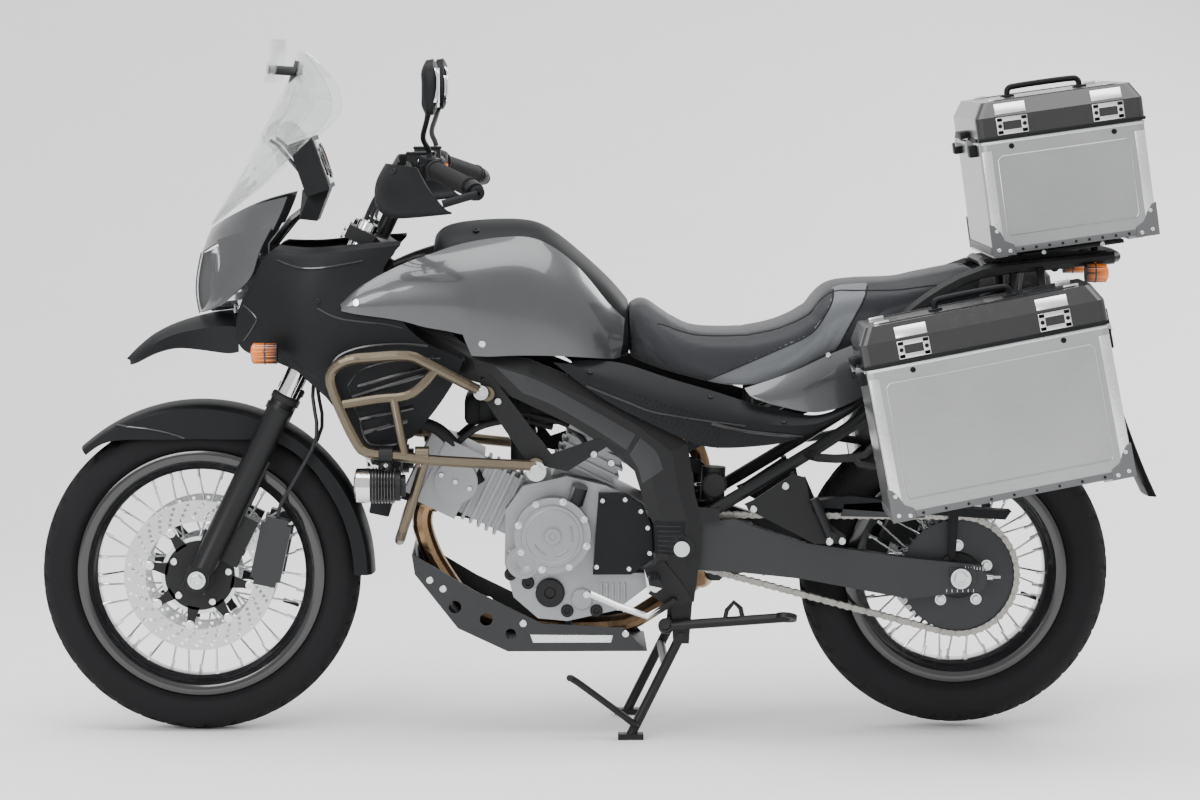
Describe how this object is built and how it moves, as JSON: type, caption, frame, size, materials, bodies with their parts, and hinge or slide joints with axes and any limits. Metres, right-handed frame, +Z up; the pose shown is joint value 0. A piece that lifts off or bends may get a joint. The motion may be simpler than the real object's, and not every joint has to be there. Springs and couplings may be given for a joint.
{
  "type": "adventure motorcycle",
  "caption": "Upright touring motorcycle with wire wheels, beak, screen, crash bars, skid plate, metal panniers and top box, on its centre stand",
  "frame": {"origin": "on the floor under the middle of the bounding box", "axes": "+X forward along the machine, +Y to the rider's left, +Z up"},
  "size_m": [2.3022, 0.992, 1.4288],
  "materials": {
    "tyre": "matt black rubber",
    "gloss_black": "gloss black enamel",
    "black_metal": "satin black powder coat",
    "steel": "bright steel",
    "engine_alloy": "cast alloy, silver paint",
    "chrome": "hard chrome",
    "case_alloy": "brushed alloy sheet",
    "grey_paint": "metallic grey lacquer",
    "black_plastic": "grained black plastic",
    "seat_cover": "dark grey vinyl",
    "clear": "clear polycarbonate",
    "lamp_glass": "clear lens over reflector",
    "orange_lens": "orange lens",
    "bronze": "bronze tinted tube",
    "heated_steel": "heat tinted steel",
    "rubber": "black rubber"
  },
  "bodies": {
    "chassis": {"main_frame": "black_metal", "subframe": "black_metal", "crankcase": "engine_alloy", "cylinders": "engine_alloy", "engine_covers": "engine_alloy", "radiator": "black_metal", "exhaust": "heated_steel", "silencer": "black_metal", "skid_plate": "black_metal", "crash_bars": "bronze", "fog_lamps": "black_metal", "fuel_tank": "black_plastic", "tank_cowls": "grey_paint", "side_fairings": "black_plastic", "nose_cowl": "grey_paint", "beak": "black_plastic", "headlamp": "lamp_glass", "windscreen": "clear", "instrument_panel": "black_plastic", "seat": "seat_cover", "side_covers": "black_plastic", "tail_cowls": "grey_paint", "rear_carrier": "black_metal", "rear_fender": "black_plastic", "indicators": "orange_lens", "shock_absorber": "black_metal", "swingarm": "black_metal", "rear_axle": "steel", "rear_caliper": "black_metal", "drive_chain": "steel", "chain_guard": "black_plastic", "footrests": "black_metal", "case_racks": "black_metal", "left_pannier": "case_alloy", "right_pannier": "case_alloy", "top_box": "case_alloy"},
    "steering": {"fork_yokes": "black_metal", "fork_stanchions": "chrome", "fork_sliders": "black_metal", "front_axle": "steel", "front_calipers": "black_metal", "handlebar": "black_metal", "mirrors": "black_plastic", "handguards": "black_plastic", "front_fender": "black_plastic", "brake_hoses": "rubber"},
    "front_wheel": {"front_tyre": "tyre", "front_rim": "gloss_black", "front_hub": "steel", "front_discs": "steel"},
    "rear_wheel": {"rear_tyre": "tyre", "rear_rim": "gloss_black", "rear_hub": "steel", "rear_disc": "steel", "rear_sprocket": "steel"},
    "side_stand": {"side_stand": "black_metal"},
    "centre_stand": {"centre_stand": "black_metal"},
    "top_box_lid": {"top_box_lid": "black_plastic"},
    "left_pannier_lid": {"left_pannier_lid": "black_plastic"},
    "right_pannier_lid": {"right_pannier_lid": "black_plastic"}
  },
  "joints": [
    {"name": "steering_turn", "type": "hinge", "parent": "chassis", "child": "steering", "pos_m": [0.77555, 0, 0.30927], "axis": [-0.4384, 0, 0.8988], "range_deg": [-35, 35]},
    {"name": "front_wheel_spin", "type": "hinge", "parent": "steering", "child": "front_wheel", "pos_m": [0.816, 0, 0.329], "axis": [0, 1, 0], "continuous": true},
    {"name": "rear_wheel_spin", "type": "hinge", "parent": "chassis", "child": "rear_wheel", "pos_m": [-0.744, 0, 0.331], "axis": [0, 1, 0], "continuous": true},
    {"name": "side_stand_swing", "type": "hinge", "parent": "chassis", "child": "side_stand", "pos_m": [-0.14, 0.176, 0.238], "axis": [-0.0877, -0.9084, -0.4089], "range_deg": [0, 98]},
    {"name": "centre_stand_swing", "type": "hinge", "parent": "chassis", "child": "centre_stand", "pos_m": [-0.172, 0, 0.214], "axis": [0, 1, 0], "range_deg": [0, 120]},
    {"name": "top_box_lid_hinge", "type": "hinge", "parent": "chassis", "child": "top_box_lid", "pos_m": [-0.75742, 0, 1.21804], "axis": [0, 1, 0], "range_deg": [0, 95]},
    {"name": "left_pannier_lid_hinge", "type": "hinge", "parent": "chassis", "child": "left_pannier_lid", "pos_m": [-0.50631, 0.383, 0.78288], "axis": [0, 1, 0], "range_deg": [0, 90]},
    {"name": "right_pannier_lid_hinge", "type": "hinge", "parent": "chassis", "child": "right_pannier_lid", "pos_m": [-0.50631, -0.383, 0.78288], "axis": [0, 1, 0], "range_deg": [0, 90]}
  ]
}
